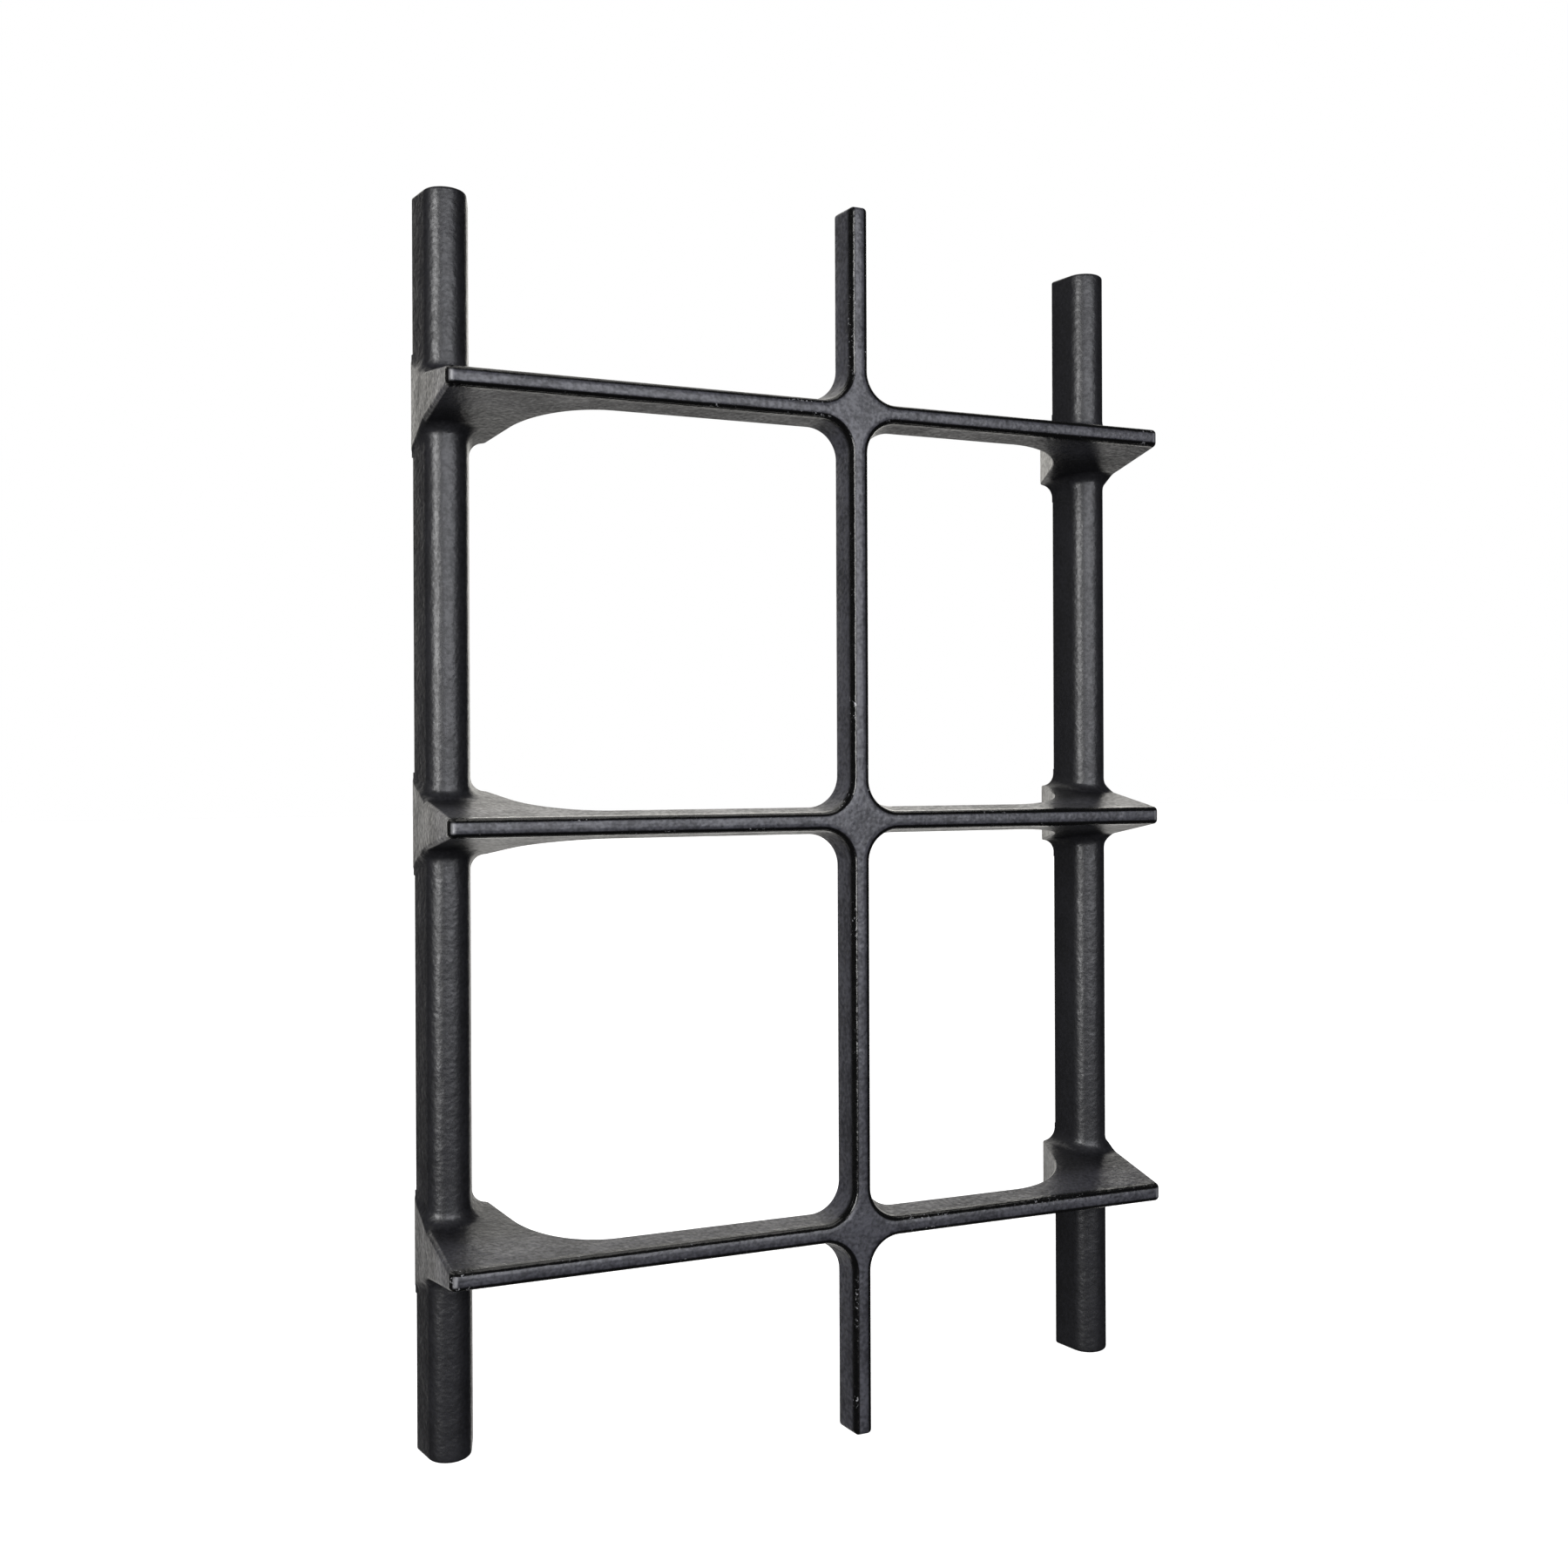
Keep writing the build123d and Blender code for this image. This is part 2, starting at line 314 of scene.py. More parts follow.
@dataclass(frozen=True)
class Outline:
    """A closed polygon, counter-clockwise seen from above, whose corners are rounded by arcs."""

    corners: tuple[tuple[float, float], ...]
    radii: tuple[float, ...]
    steps: int

    def points(self, inset: float = 0.0) -> np.ndarray:
        """Work out the outline, moved inwards by an even inset.

        Each corner moves along its bisector by the inset over the sine of half its angle. Its
        arc's centre lies further along the bisector by the radius over the same sine, and the
        arc turns from the outward direction of the side before to that of the side after.

        Args:
            inset: How far inside the outline the points lie.

        Returns:
            One row of X and Y for each point.
        """
        corner = np.array(self.corners)
        after = np.roll(corner, -1, axis=0) - corner
        after = after / np.linalg.norm(after, axis=1, keepdims=True)
        before = -np.roll(after, 1, axis=0)
        bisector = after + before
        bisector = bisector / np.linalg.norm(bisector, axis=1, keepdims=True)
        sine = np.sin(np.arccos((bisector * after).sum(axis=1)))[:, None]
        radius = np.maximum(np.array(self.radii) - inset, LEAST_RADIUS)[:, None]
        centre = corner + bisector * (inset + radius) / sine
        start = np.arctan2(before[:, 0], -before[:, 1])
        end = np.arctan2(-after[:, 0], after[:, 1])
        turn = np.mod(end - start, 2 * np.pi)
        angle = start[:, None] + turn[:, None] * np.linspace(0.0, 1.0, self.steps)
        arc = np.stack((np.cos(angle), np.sin(angle)), axis=2)
        return (centre[:, None, :] + radius[:, None, :] * arc).reshape(-1, 2)


def ring(outline: np.ndarray, centre: tuple[float, float], radius: float) -> np.ndarray:
    """Shrink an outline onto a circle, point by point along the spokes from the centre.

    Args:
        outline: The outline's points.
        centre: The circle's centre.
        radius: The circle's radius.

    Returns:
        One point on the circle for each point of the outline.
    """
    spoke = outline - np.array(centre)
    return np.array(centre) + spoke * radius / np.linalg.norm(spoke, axis=1, keepdims=True)


def skin(name: str, loops: list, heights: list, closed: bool) -> bpy.types.Object:
    """Join level loops of equal length into a shell whose faces point outwards.

    Point n of loop m joins point n + 1 and the same two points of loop m + 1. A closed shell
    joins its last loop to its first, as round a bore. An open one ends in fans round the
    middle of its first and last loops.

    Args:
        name: The piece's name.
        loops: The loops, from the outer wall's foot upwards and on over the top.
        heights: Each loop's height.
        closed: Whether the last loop joins the first.

    Returns:
        The piece, on the object's own body.
    """
    height_of = np.repeat(np.array(heights)[:, None, None], len(loops[0]), axis=1)
    grid = np.concatenate((np.stack(loops), height_of), axis=2)
    levels, count, _ = grid.shape
    points = grid.reshape(-1, 3)
    m, n = np.meshgrid(np.arange(levels if closed else levels - 1), np.arange(count), indexing="ij")
    m_next, n_next = (m + 1) % levels, (n + 1) % count
    here, there = m * count, m_next * count
    quads = np.stack((here + n, here + n_next, there + n_next, there + n), axis=2)
    faces = quads.reshape(-1, 4).tolist()
    if not closed:
        n = np.arange(count)
        n_next = (n + 1) % count
        last = (levels - 1) * count
        foot, head = len(points), len(points) + 1
        points = np.vstack((points, grid[0].mean(axis=0), grid[-1].mean(axis=0)))
        faces += np.column_stack((np.full(count, foot), n_next, n)).tolist()
        faces += np.column_stack((np.full(count, head), last + n, last + n_next)).tolist()
    mesh = bpy.data.meshes.new(name)
    mesh.from_pydata(points.tolist(), [], faces)
    return settle(name, mesh)


def sharp_edges(mesh: bpy.types.Mesh, limit: float) -> np.ndarray:
    """Find the edges of a closed mesh whose two faces turn by more than a limit.

    Sorted by their edge, the faces' corners fall into pairs: the two faces at each edge. The
    product of their normals is the cosine of the turn.

    Args:
        mesh: The mesh, with two faces at every edge.
        limit: The limit in degrees.

    Returns:
        Whether each edge is sharp.
    """
    normal = np.empty(3 * len(mesh.polygons), dtype=np.float32)
    edge = np.empty(len(mesh.loops), dtype=np.int32)
    size = np.empty(len(mesh.polygons), dtype=np.int32)
    mesh.polygons.foreach_get("normal", normal)
    mesh.loops.foreach_get("edge_index", edge)
    mesh.polygons.foreach_get("loop_total", size)
    owner = np.repeat(np.arange(len(size)), size)
    pair = normal.reshape(-1, 3)[owner[np.argsort(edge, kind="stable")].reshape(-1, 2)]
    return (pair[:, 0] * pair[:, 1]).sum(axis=1) < math.cos(math.radians(limit))


def settle(name: str, mesh: bpy.types.Mesh) -> bpy.types.Object:
    """Put a mesh on the object's body, smooth but for its sharp edges.

    Args:
        name: The piece's name.
        mesh: Its mesh, already in place.

    Returns:
        The piece.
    """
    mesh.polygons.foreach_set("use_smooth", np.ones(len(mesh.polygons), dtype=bool))
    mesh.edges.foreach_set("use_edge_sharp", sharp_edges(mesh, SHARP_ANGLE))
    mesh.update()
    piece = bpy.data.objects.new(name, mesh)
    bpy.context.scene.collection.objects.link(piece)
    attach(piece, "root")
    log.info("made %s with %d faces", name, len(mesh.polygons))
    return piece


def merged_copy(node: str) -> bpy.types.Object:
    """Copy a CAD node's mesh with its doubles merged, for smooth fillets.

    The shading follows the larger faces, so flat faces stay flat up to their rounded edges.

    Args:
        node: The CAD node.

    Returns:
        The piece that stands for the node.
    """
    work = bmesh.new()
    work.from_mesh(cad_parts[node].data)
    bmesh.ops.remove_doubles(work, verts=work.verts, dist=MERGE_DISTANCE)
    mesh = bpy.data.meshes.new(f"{node}_skin")
    work.to_mesh(mesh)
    work.free()
    mesh.attributes.remove(mesh.attributes["custom_normal"])
    piece = settle(f"{node}_skin", mesh)
    weigh = piece.modifiers.new("even_shading", "WEIGHTED_NORMAL")
    weigh.keep_sharp = True
    return piece


# ---------------------------------------------------------------------------
# Finishes
# ---------------------------------------------------------------------------


@dataclass(frozen=True)
class PowderCoat:
    """Satin black powder coat: mottled, paler to the street, chipped, painted edge shade, tip
    glint.
    """

    name: str = "powder_coat"
    # Painted shade: the near-black tone laid on the rounding of the front edges.
    rim_painted_shade: Colour = (0.002, 0.002, 0.002)
    # Tones that run from paler near the street to darker towards the wall.
    deep_tones: tuple[Colour, Colour] = ((0.004, 0.004, 0.005), (0.014, 0.014, 0.016))
    street_tones: tuple[Colour, Colour] = ((0.014, 0.014, 0.0175), (0.054, 0.054, 0.063))
    street_to_wall: tuple[float, float] = (9.0 * MM, 22.0 * MM)
    # Pale bare tone: real wear where the coat is chipped, and the painted glint at the rung tips.
    bare_and_glint: Colour = (0.26, 0.26, 0.27)
    cloud_size: float = 14.0 * MM
    cloud_detail: float = 3.0
    cloud_share: float = 0.4
    speck_size: float = 1.2 * MM
    speck_share: float = 0.6
    mottle_span: tuple[float, float] = (0.36, 0.64)
    patch_size: float = 21.0 * MM
    patch_span: tuple[float, float] = (0.52, 0.64)
    chip_size: float = 0.9 * MM
    chip_span: tuple[float, float] = (0.62, 0.70)
    # Painted highlight at the rung tips: how strong it is and where it lies.
    tip_glint_share: float = 0.55
    tip_from: tuple[float, float] = (0.4 * MM, 0.9 * MM)
    tip_until: tuple[float, float] = (1.5 * MM, 2.3 * MM)
    tip_depth: tuple[float, float] = (1.2 * MM, 2.4 * MM)
    tip_height: tuple[float, float] = (1.0 * MM, 1.9 * MM)
    rim_width: tuple[float, float] = (0.60 * FRONT_RADIUS, FRONT_RADIUS)
    rim_depth: tuple[float, float] = (0.9 * FRONT_RADIUS, 2.2 * FRONT_RADIUS)
    roughness: float = 0.46
    pale_sheen: float = 0.12
    rim_sheen: float = 0.16
    peel_size: float = 1.5 * MM
    peel_detail: float = 1.5
    peel_depth: float = 0.15 * MM
    sag_size: float = 7.0 * MM
    sag_detail: float = 1.0
    sag_depth: float = 0.25 * MM
    drawn_width: float = 2.3 * MM
    drawn_depth: float = 0.8 * MM
    front_depth: float = 3.0 * MM
    fall: float = 10.0

    def off_rung(self, layout: Layout, z: Signal) -> Signal:
        """Measure how far above or below the nearest rung's middle a point lies.

        Args:
            layout: The grille's main lines.
            z: The point's height.

        Returns:
            The distance in metres.
        """
        first, *others = layout.rung_heights
        near = abs(z - first)
        for height in others:
            near = near.at_most(abs(z - height))
        return near

    def edge_distance(self, graph: Graph, layout: Layout) -> Signal:
        """Measure how far inside the front outline a point lies.

        The outline is a cross whose corners are rounded by the star's radius. Folded into one
        quarter, the distance is the length of the vector from the corner's centre, cut off at
        the two bars' sides, less the radius. The rungs' tips cut it off as well.

        Args:
            graph: The material's graph.
            layout: The grille's main lines.

        Returns:
            The distance in metres.
        """
        x, _, z = graph.parts(graph.place())
        corner = HALF_EDGE + STAR_RADIUS
        reach_x = (corner - abs(x - layout.bar_x)).at_least(0.0)
        reach_z = (corner - self.off_rung(layout, z)).at_least(0.0)
        inside = (reach_x * reach_x + reach_z * reach_z) ** 0.5 - STAR_RADIUS
        return inside.at_most(x - layout.tips[0]).at_most(layout.tips[1] - x)

    def drawn_edges(self, graph: Graph, layout: Layout) -> Signal:
        """Return how far the coat is drawn back at the front edges, from 0 at the edge to 1.

        It rises as a parabola of the distance from the front outline. Deeper than the strips'
        rounding it stays at 0, so that nothing shows on the sides and the back.

        Args:
            graph: The material's graph.
            layout: The grille's main lines.

        Returns:
            1 on the flat front, 0 at its outline and behind it.
        """
        _, y, _ = graph.parts(graph.place())
        deeper = (y - layout.front - self.front_depth).at_least(0.0)
        inside = self.edge_distance(graph, layout) - deeper * self.fall
        short = (1.0 - inside / self.drawn_width).at_least(0.0).at_most(1.0)
        return 1.0 - short * short

    def rim(self, graph: Graph, layout: Layout) -> Signal:
        """Return how far a point is round the front edges' rounding, from 0 to 1.

        Args:
            graph: The material's graph.
            layout: The grille's main lines.

        Returns:
            1 on the rounding, 0 on the flat front and behind it.
        """
        _, y, _ = graph.parts(graph.place())
        inner = self.edge_distance(graph, layout).fade(*self.rim_width)
        return inner * (y - layout.front).fade(*self.rim_depth)

    def painted_tip_glint(self, graph: Graph, layout: Layout) -> Signal:
        """Return where a glint is painted on the rungs' front tips, from 0 to 1.

        Args:
            graph: The material's graph.
            layout: The grille's main lines.

        Returns:
            1 in a spot just inside each tip, halfway up the rung.
        """
        x, y, z = graph.parts(graph.place())
        inside = (x - layout.tips[0]).at_most(layout.tips[1] - x)
        along = inside.ease(*self.tip_from) * inside.fade(*self.tip_until)
        front = (y - layout.front).fade(*self.tip_depth)
        return along * front * self.off_rung(layout, z).fade(*self.tip_height)

    def chips(self, graph: Graph, rim: Signal) -> Signal:
        """Return where the coat is chipped on the edges, from 0 to 1.

        Args:
            graph: The material's graph.
            rim: How far round the front edges' rounding a point is.

        Returns:
            1 on a chip.
        """
        point = graph.place()
        patches = graph.grain(point, self.patch_size).ease(*self.patch_span)
        specks = graph.grain(point, self.chip_size).ease(*self.chip_span)
        return rim * patches * specks

    def material(self, layout: Layout) -> bpy.types.Material:
        """Build the coat.

        Args:
            layout: The grille's main lines.

        Returns:
            The material.
        """
        material, graph, shader = new_material(self.name)
        point = graph.place()
        cloud = graph.grain(point, self.cloud_size, self.cloud_detail)
        speck = graph.grain(point, self.speck_size)
        mottle = (cloud * self.cloud_share + speck * self.speck_share).ease(*self.mottle_span)
        rim = self.rim(graph, layout)
        _, y, _ = graph.parts(point)
        # Paler towards the street, darker deeper towards the wall.
        towards_wall = (y - layout.front).ease(*self.street_to_wall)
        light, dark = graph.blend(mottle, *self.street_tones), graph.blend(mottle, *self.deep_tones)
        # Painted shade: a near-black tone over the front edges' rounding, where the edges look
        # dark.
        colour = graph.blend(rim, graph.blend(towards_wall, light, dark), self.rim_painted_shade)
        # Painted highlight: a pale glint laid just inside each rung tip.
        tips = self.painted_tip_glint(graph, layout)
        colour = graph.blend(tips * self.tip_glint_share, colour, self.bare_and_glint)
        colour = graph.blend(self.chips(graph, rim), colour, self.bare_and_glint)
        rough = self.roughness - mottle * self.pale_sheen - rim * self.rim_sheen
        drawn = graph.bump(self.drawn_edges(graph, layout), self.drawn_depth)
        sag = graph.grain(point, self.sag_size, self.sag_detail)
        broad = graph.bump(sag, self.sag_depth, drawn)
        peel = graph.grain(point, self.peel_size, self.peel_detail)
        fine = graph.bump(peel, self.peel_depth, broad)
        graph.feed(shader, {"Base Color": colour, "Roughness": rough, "Normal": fine})
        return material


@dataclass(frozen=True)
class BareMetal:
    """Drawn, plated or turned metal with dull stains and fine scratches."""

    name: str
    tone: Colour
    dull: Colour
    roughness: float = 0.24
    stain_size: float = 5.0 * MM
    stain_detail: float = 3.0
    stain_span: tuple[float, float] = (0.35, 0.7)
    stain_rough: float = 0.12
    scratch_size: float = 0.25 * MM
    scratch_detail: float = 1.0
    scratch_rough: float = 0.10
    scratch_depth: float = 0.01 * MM

    def material(self) -> bpy.types.Material:
        """Make the bare metal, which is stained in blotches and finely scratched.

        Returns:
            The material.
        """
        material, graph, shader = new_material(self.name)
        point = graph.place()
        stain = graph.grain(point, self.stain_size, self.stain_detail).ease(*self.stain_span)
        scratch = graph.grain(point, self.scratch_size, self.scratch_detail)
        colour = graph.blend(stain, self.tone, self.dull)
        rough = stain * self.stain_rough + scratch * self.scratch_rough + self.roughness
        normal = graph.bump(scratch, self.scratch_depth)
        graph.feed(shader, {"Base Color": colour, "Roughness": rough, "Normal": normal})
        graph.feed(shader, {"Metallic": 1.0})
        return material


# ---------------------------------------------------------------------------
# Sub-assemblies
# ---------------------------------------------------------------------------


def dress(node: str, material: bpy.types.Material) -> None:
    """Give a CAD node its finish.

    Args:
        node: The node's name.
        material: The finish.
    """
    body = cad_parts[node]
    if not body.material_slots:
        body.data.materials.append(material)
    for slot in body.material_slots:
        slot.material = material
    log.info("dressed %s in %s", node, material.name)


def rounded_end(
    outline: Outline, radius: float, tip: float, up: float, steps: int
) -> tuple[list[np.ndarray], np.ndarray]:
    """Work out the loops of a quarter-round edge at the end of a bar.

    The outline moves in by the radius less its cosine share, while it rises by its sine share.

    Args:
        outline: The bar's outline.
        radius: The edge's radius.
        tip: The end's height.
        up: 1 if the end looks up, -1 if it looks down.
        steps: How many loops there are.

    Returns:
        The loops, and the height of each.
    """
    turn = np.linspace(0.0, math.pi / 2, steps)
    loops = [outline.points(radius * (1 - math.cos(t))) for t in turn]
    return loops, tip - up * radius * (1 - np.sin(turn))


def stand_for(piece: bpy.types.Object, node: str, material: bpy.types.Material) -> None:
    """Let a piece take a CAD node's place.

    Args:
        piece: The new piece.
        node: The node that it stands for.
        material: Its finish.
    """
    piece.data.materials.clear()
    piece.data.materials.append(material)
    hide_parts(node)


def rows(low: float, high: float, step: float) -> np.ndarray:
    """Space heights evenly from low to high, about one step apart."""
    return np.linspace(low, high, max(2, round((high - low) / step) + 1))


@dataclass
class Castings:
    """The three cast rungs with their stars and hubs."""

    coat: bpy.types.Material

    def build(self) -> None:
        """Make each rung's skin and coat it."""
        for level in Level:
            node = f"rung_{level.value}"
            stand_for(merged_copy(node), node, self.coat)


@dataclass
class CentreBar:
    """The bar between the stars: four lengths bored for their rod, and two end caps."""

    layout: Layout
    coat: bpy.types.Material
    half_front: float = HALF_EDGE
    draft: float = 0.165
    front_radius: float = FRONT_RADIUS
    back_radius: float = 0.5 * MM
    rod_depth: float = 5.2 * MM
    bore: float = 1.65 * MM
    cap_bore: float = 1.55 * MM
    cap_wall: float = 3.0 * MM
    row: float = 2.0 * MM
    arc_steps: int = 10
    wall_steps: int = 5
    end_steps: int = 7

    def outline(self) -> Outline:
        """Work out the bar's section, whose drafted sides widen towards the wall.

        Returns:
            The section, as wide behind as the draft makes it over the bar's depth.
        """
        low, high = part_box("centre_bar_upper")
        x, front, back = self.layout.bar_x, low.y, high.y
        half_back = self.half_front + self.draft * (back - front)
        corners = (
            (x - self.half_front, front),
            (x + self.half_front, front),
            (x + half_back, back),
            (x - half_back, back),
        )
        radii = (self.front_radius, self.front_radius, self.back_radius, self.back_radius)
        return Outline(corners, radii, self.arc_steps)

    def build_length(self, place: str) -> None:
        """Make one length: the outline between its ends, joined round its bore.

        Args:
            place: Which length it is.
        """
        node = f"centre_bar_{place}"
        low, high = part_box(node)
        outer = self.outline().points()
        inner = ring(outer, (self.layout.bar_x, self.layout.front + self.rod_depth), self.bore)
        heights = list(rows(low.z, high.z, self.row))
        loops = [outer] * len(heights) + [inner, inner]
        piece = skin(f"{node}_skin", loops, heights + [high.z, low.z], closed=True)
        stand_for(piece, node, self.coat)

    def build_cap(self, end: str) -> None:
        """Make an end cap: a rounded outer end and a blind bore for the rod.

        The loops run from the bore's floor down to the mouth, out to the foot and up to the
        rounded end. The bottom cap is the same shape mirrored.

        Args:
            end: Top or bottom.
        """
        node = f"centre_cap_{end}"
        low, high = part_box(node)
        mouth, tip = (low.z, high.z) if end == "top" else (high.z, low.z)
        up = 1.0 if end == "top" else -1.0
        outline = self.outline()
        outer = outline.points()
        inner = ring(outer, (self.layout.bar_x, self.layout.front + self.rod_depth), self.cap_bore)
        rounding, ends = rounded_end(outline, self.front_radius, tip, up, self.end_steps)
        walls = np.linspace(mouth, tip - up * self.front_radius, self.wall_steps)[:-1]
        loops = [inner, inner] + [outer] * len(walls) + rounding
        heights = [tip - up * self.cap_wall, mouth, *walls, *ends]
        if end == "bottom":
            loops = [loop[::-1] for loop in loops]
        piece = skin(f"{node}_skin", loops, heights, closed=False)
        stand_for(piece, node, self.coat)

    def build(self) -> None:
        """Make the bar's lengths and caps."""
        for place in PLACES:
            self.build_length(place)
        for end in ENDS:
            self.build_cap(end)


@dataclass
class Rails:
    """Both rails: four lengths each, bored for the tie rod, with pockets and caps at the ends."""

    coat: bpy.types.Material
    nose_radius: float = 6.6 * MM
    draft: float = 0.24
    back_radius: float = 0.8 * MM
    rod_behind_nose: float = 7.0 * MM
    bore: float = 2.7 * MM
    pocket: float = 5.1 * MM
    pocket_depth: float = 12.0 * MM
    spigot: float = 5.0 * MM
    spigot_length: float = 4.0 * MM
    cap_radius: float = 1.0 * MM
    row: float = 2.0 * MM
    arc_steps: int = 32
    end_steps: int = 9

    def outline(self, side: Side) -> Outline:
        """Return a rail's section: a nose that touches two drafted sides, and a flat back.

        The sides are drawn on until they meet in front of the nose, which rounds that corner.

        Args:
            side: Which rail.

        Returns:
            The section.
        """
        low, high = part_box(f"rail_{side.value}_upper")
        x, front, back = (low.x + high.x) / 2, low.y, high.y
        to_apex = self.nose_radius * math.hypot(1.0, self.draft) / self.draft
        apex = front + self.nose_radius - to_apex
        half_back = self.draft * (back - apex)
        corners = ((x, apex), (x + half_back, back), (x - half_back, back))
        radii = (self.nose_radius, self.back_radius, self.back_radius)
        return Outline(corners, radii, self.arc_steps)

    def rod_at(self, side: Side) -> tuple[float, float]:
        """Return where a rail's tie rod runs."""
        low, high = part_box(f"rail_{side.value}_upper")
        return (low.x + high.x) / 2, low.y + self.rod_behind_nose

    def build_length(self, side: Side, place: str) -> None:
        """Make one length, with a nut pocket where it is an end length.

        Args:
            side: Which rail.
            place: Which length of it.
        """
        node = f"rail_{side.value}_{place}"
        low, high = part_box(node)
        outer = self.outline(side).points()
        bore = ring(outer, self.rod_at(side), self.bore)
        pocket = ring(outer, self.rod_at(side), self.pocket)
        heights = list(rows(low.z, high.z, self.row))
        loops = [outer] * len(heights)
        if place == "top":
            floor = high.z - self.pocket_depth
            loops += [pocket, pocket, bore, bore]
            heights += [high.z, floor, floor, low.z]
        elif place == "bottom":
            floor = low.z + self.pocket_depth
            loops += [bore, bore, pocket, pocket]
            heights += [high.z, floor, floor, low.z]
        else:
            loops += [bore, bore]
            heights += [high.z, low.z]
        piece = skin(f"{node}_skin", loops, heights, closed=True)
        stand_for(piece, node, self.coat)

    def build_cap(self, side: Side, end: str) -> None:
        """Make an end cap: a spigot, a flat shoulder, the rail's outline and a rounded rim.

        Args:
            side: Which rail.
            end: Top or bottom.
        """
        node = f"end_cap_{side.value}_{end}"
        low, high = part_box(node)
        foot, tip = (low.z, high.z) if end == "top" else (high.z, low.z)
        up = 1.0 if end == "top" else -1.0
        outline = self.outline(side)
        outer = outline.points()
        spigot = ring(outer, self.rod_at(side), self.spigot)
        shoulder = foot + up * self.spigot_length
        rounding, ends = rounded_end(outline, self.cap_radius, tip, up, self.end_steps)
        loops = [spigot, spigot, outer] + rounding
        heights = [foot, shoulder, shoulder, *ends]
        if end == "bottom":
            loops = [loop[::-1] for loop in loops]
        piece = skin(f"{node}_skin", loops, heights, closed=False)
        stand_for(piece, node, self.coat)

    def build(self) -> None:
        """Make both rails and their caps."""
        for side in Side:
            for place in PLACES:
                self.build_length(side, place)
            for end in ENDS:
                self.build_cap(side, end)


@dataclass
class Fixings:
    """Tie rods, nuts, washers, the centre rod and the threaded inserts."""

    rod: BareMetal = BareMetal("drawn_rod", (0.34, 0.34, 0.35), (0.22, 0.22, 0.23))
    zinc: BareMetal = BareMetal("zinc_plate", (0.58, 0.60, 0.62), (0.42, 0.43, 0.44))
    brass: BareMetal = BareMetal("turned_brass", (0.72, 0.53, 0.26), (0.48, 0.34, 0.17))

    def build(self) -> None:
        """Dress every fixing."""
        rod, zinc, brass = self.rod.material(), self.zinc.material(), self.brass.material()
        dress("centre_rod", rod)
        for side in Side:
            dress(f"tie_rod_{side.value}", rod)
            for end in ENDS:
                dress(f"nut_{side.value}_{end}", zinc)
                dress(f"washer_{side.value}_{end}", zinc)
            for level in Level:
                dress(f"insert_{side.value}_{level.value}", brass)


# ---------------------------------------------------------------------------
# Studio
# ---------------------------------------------------------------------------


@dataclass
class Viewpoint:
    """The camera: where it stands and how it is turned."""

    stand: tuple[float, float, float] = (-0.1934, -0.4720, 0.0171)
    turn: float = 22.12
    tilt: float = -0.05
    roll: float = -0.24
    lens: float = 35.63
    sensor: float = 36.0
    shift: tuple[float, float] = (0.0032, -0.0111)

    def build(self) -> None:
        """Create the camera. It looks along Y, turned towards X, tilted up and rolled."""
        turn, tilt, roll = (math.radians(a) for a in (self.turn, self.tilt, self.roll))
        level = Vector((math.sin(turn), math.cos(turn), 0.0))
        right = Vector((math.cos(turn), -math.sin(turn), 0.0))
        ahead = level * math.cos(tilt) + Vector((0, 0, 1)) * math.sin(tilt)
        up = Vector((0, 0, 1)) * math.cos(tilt) - level * math.sin(tilt)
        rolled = right * math.cos(roll) + up * math.sin(roll)
        upright = up * math.cos(roll) - right * math.sin(roll)
        data = bpy.data.cameras.new("camera")
        data.lens, data.sensor_width = self.lens, self.sensor
        data.shift_x, data.shift_y = self.shift
        camera = bpy.data.objects.new("camera", data)
        pose = Matrix((rolled, upright, -ahead)).transposed()
        camera.matrix_world = Matrix.Translation(self.stand) @ pose.to_4x4()
        bpy.context.scene.collection.objects.link(camera)
        bpy.context.scene.camera = camera


@dataclass(frozen=True)
class Lamp:
    """A soft rectangular light that the camera doesn't see."""

    name: str
    stand: tuple[float, float, float]
    width: float
    height: float
    power: float
    tint: Colour
    aim: tuple[float, float, float] = (0.0, -0.03, 0.06)

    def build(self) -> None:
        """Hang the light and turn it to its aim, upright."""
        data = bpy.data.lights.new(self.name, "AREA")
        data.shape, data.size, data.size_y = "RECTANGLE", self.width, self.height
        data.energy, data.color = self.power, self.tint
        light = bpy.data.objects.new(self.name, data)
        light.location = self.stand
        way = Vector(self.aim) - Vector(self.stand)
        light.rotation_euler = way.to_track_quat("-Z", "Y").to_euler()
        light.visible_camera = False
        bpy.context.scene.collection.objects.link(light)
        log.info("hung %s", self.name)


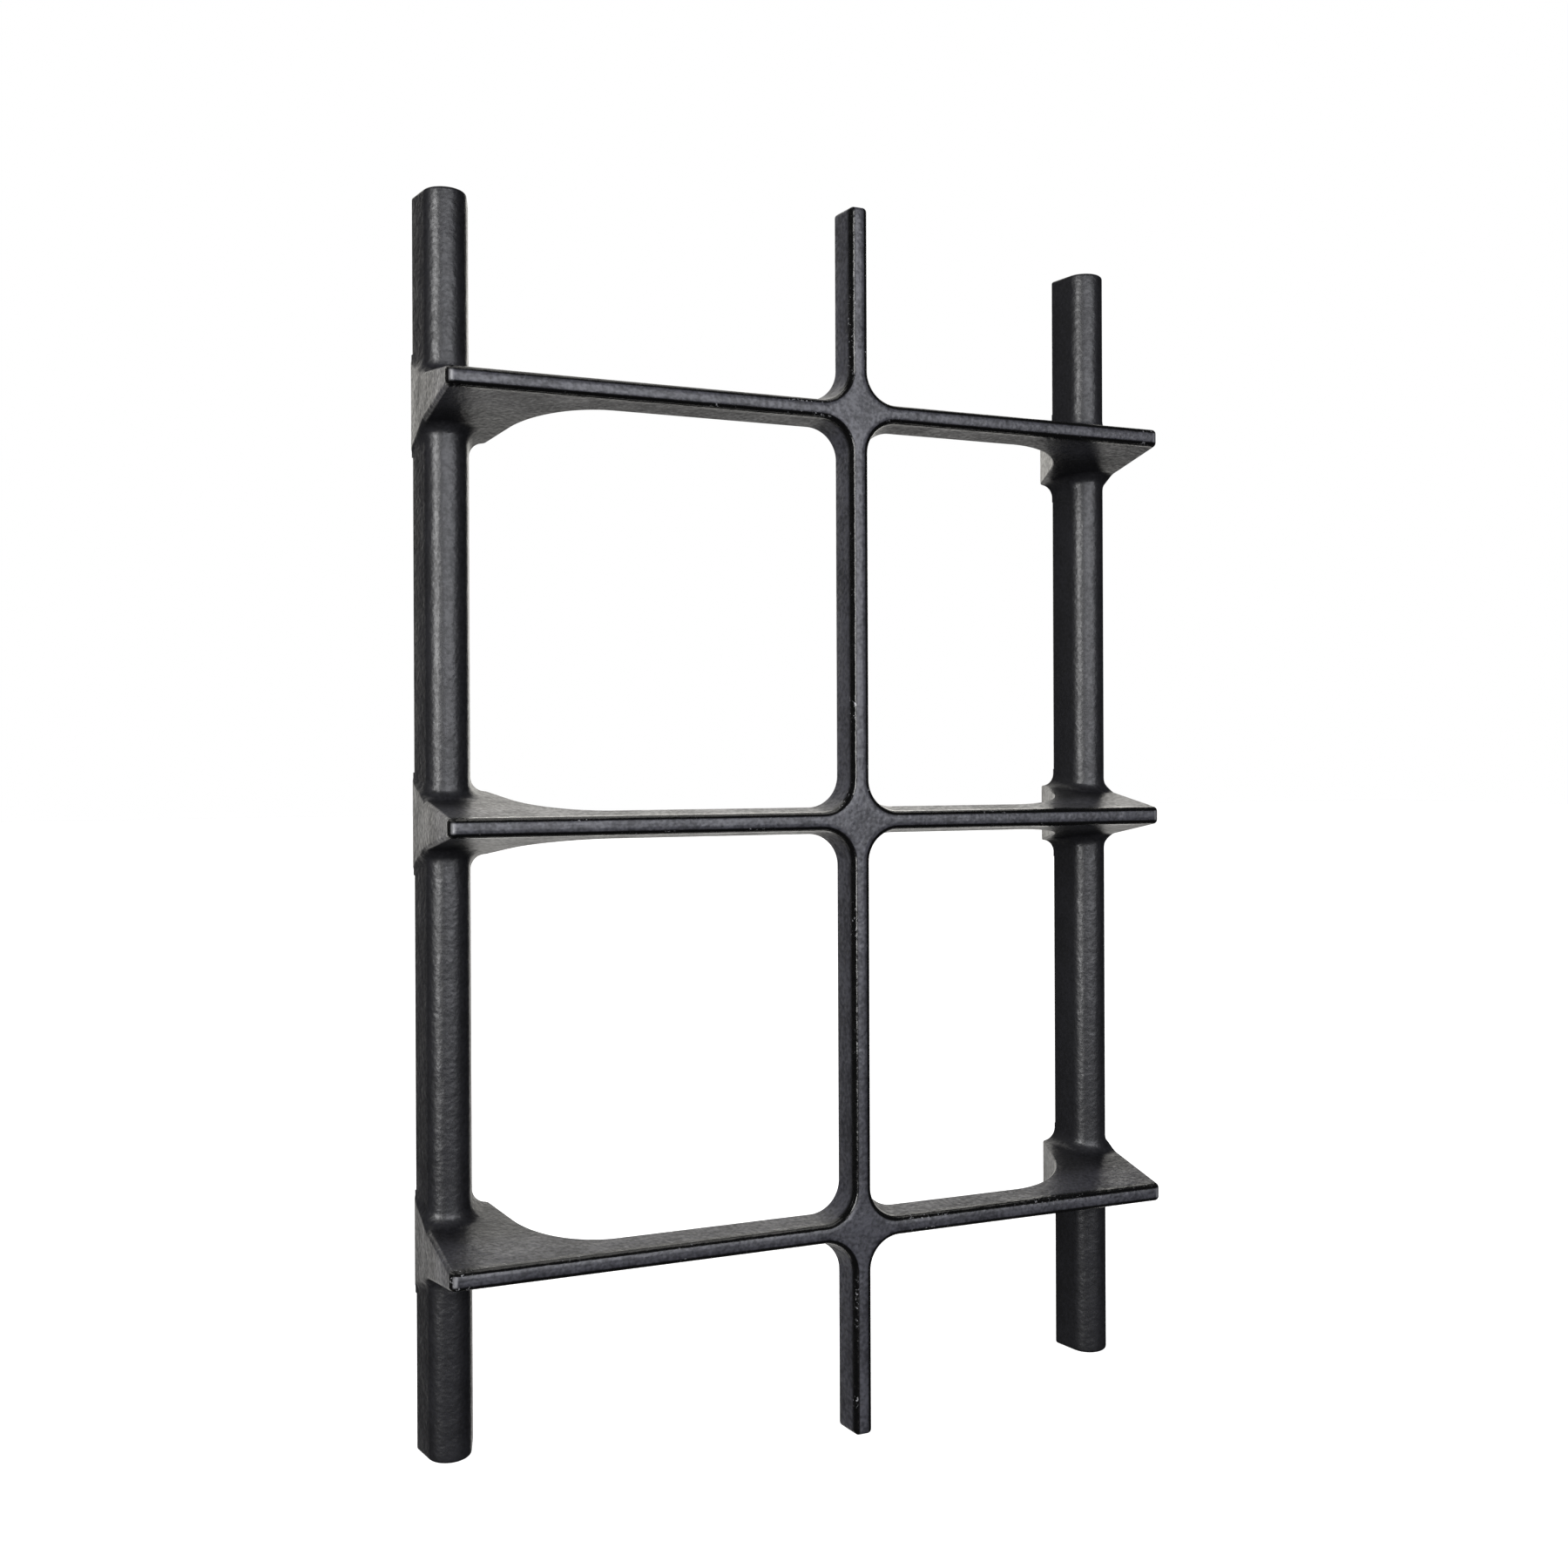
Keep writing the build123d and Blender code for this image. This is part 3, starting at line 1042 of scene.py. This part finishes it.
@dataclass
class Studio:
    """A pale floor, two soft lights in front and a white wall of light behind."""

    side_lamp: Lamp = Lamp("side_lamp", (-1.14, -0.70, 0.22), 0.50, 0.95, 19.0, WHITE)
    front_lamp: Lamp = Lamp("front_lamp", (0.06, -1.27, 0.27), 1.45, 0.86, 18.0, (0.94, 0.95, 1.0))
    wall: Colour = (1.10, 1.08, 1.04)
    glow: Colour = (2.15, 2.10, 1.98)
    room: Colour = (0.035, 0.035, 0.037)
    paper: Colour = (0.92, 0.92, 0.92)
    paper_roughness: float = 0.9
    paper_glow: float = 0.92
    paper_half: float = 6.0
    paper_drop: float = 0.2 * MM
    wall_lean: float = 0.15
    wall_edge: tuple[float, float] = (0.82, 0.895)
    wall_foot: tuple[float, float] = (-0.78, -0.50)
    glow_rise: float = 0.20
    glow_reach: tuple[float, float] = (0.08, 0.42)

    def floor(self) -> None:
        """Lay the floor just under the grille: white, faintly glowing, and wide."""
        material, graph, shader = new_material("floor_paper")
        graph.feed(shader, {"Base Color": self.paper, "Roughness": self.paper_roughness})
        graph.feed(shader, {"Emission Color": WHITE, "Emission Strength": self.paper_glow})
        corners = np.array([(-1, -1), (1, -1), (1, 1), (-1, 1)]) * self.paper_half
        points = [(x, y, CAD_BOX[0][2] - self.paper_drop) for x, y in corners]
        mesh = bpy.data.meshes.new("floor")
        mesh.from_pydata(points, [], [(0, 1, 2, 3)])
        mesh.materials.append(material)
        floor = bpy.data.objects.new("floor", mesh)
        floor.visible_glossy = False
        floor.visible_diffuse = False
        bpy.context.scene.collection.objects.link(floor)

    def surround(self) -> None:
        """Surround the scene with white to the eye, and light it from behind.

        A direction is turned into the cosine of its bearing from straight behind, with a little
        of its rightward share added. A smooth step of that gives the wall over a dim room.
        The wall ends towards the ground and glows most a little above the horizon.
        """
        world = bpy.data.worlds.new("surround")
        world.use_nodes = True
        tree = world.node_tree
        tree.nodes.clear()
        graph = Graph(tree)
        right, behind, up = graph.parts(graph.add("ShaderNodeTexCoord", output="Generated"))
        level = (right * right + behind * behind).at_least(LEAST_LENGTH) ** 0.5
        facing = ((behind + right * self.wall_lean) / level).ease(*self.wall_edge)
        facing = facing * up.ease(*self.wall_foot)
        band = abs(up - self.glow_rise).fade(*self.glow_reach)
        wall = graph.blend(band, self.wall, self.glow)
        lit = graph.blend(facing, self.room, wall)
        seen = graph.add("ShaderNodeLightPath", output="Is Camera Ray")
        colour = graph.blend(seen, lit, WHITE)
        light = graph.add("ShaderNodeBackground", values={"Color": colour, "Strength": 1.0})
        out = tree.nodes.new("ShaderNodeOutputWorld")
        tree.links.new(light.socket, out.inputs[0])
        bpy.context.scene.world = world

    def build(self) -> None:
        """Set up floor, surround and lights."""
        self.floor()
        self.surround()
        self.side_lamp.build()
        self.front_lamp.build()
        bpy.context.scene.view_settings.view_transform = "Standard"


def main() -> None:
    """Dress the grille piece by piece and set up the studio."""
    logging.basicConfig(level=logging.INFO, format="%(name)s: %(message)s")
    Viewpoint().build()
    layout = Layout.from_frame()
    coat = PowderCoat().material(layout)
    Castings(coat).build()
    CentreBar(layout, coat).build()
    Rails(coat).build()
    Fixings().build()
    Studio().build()


if __name__ == "__main__":
    main()
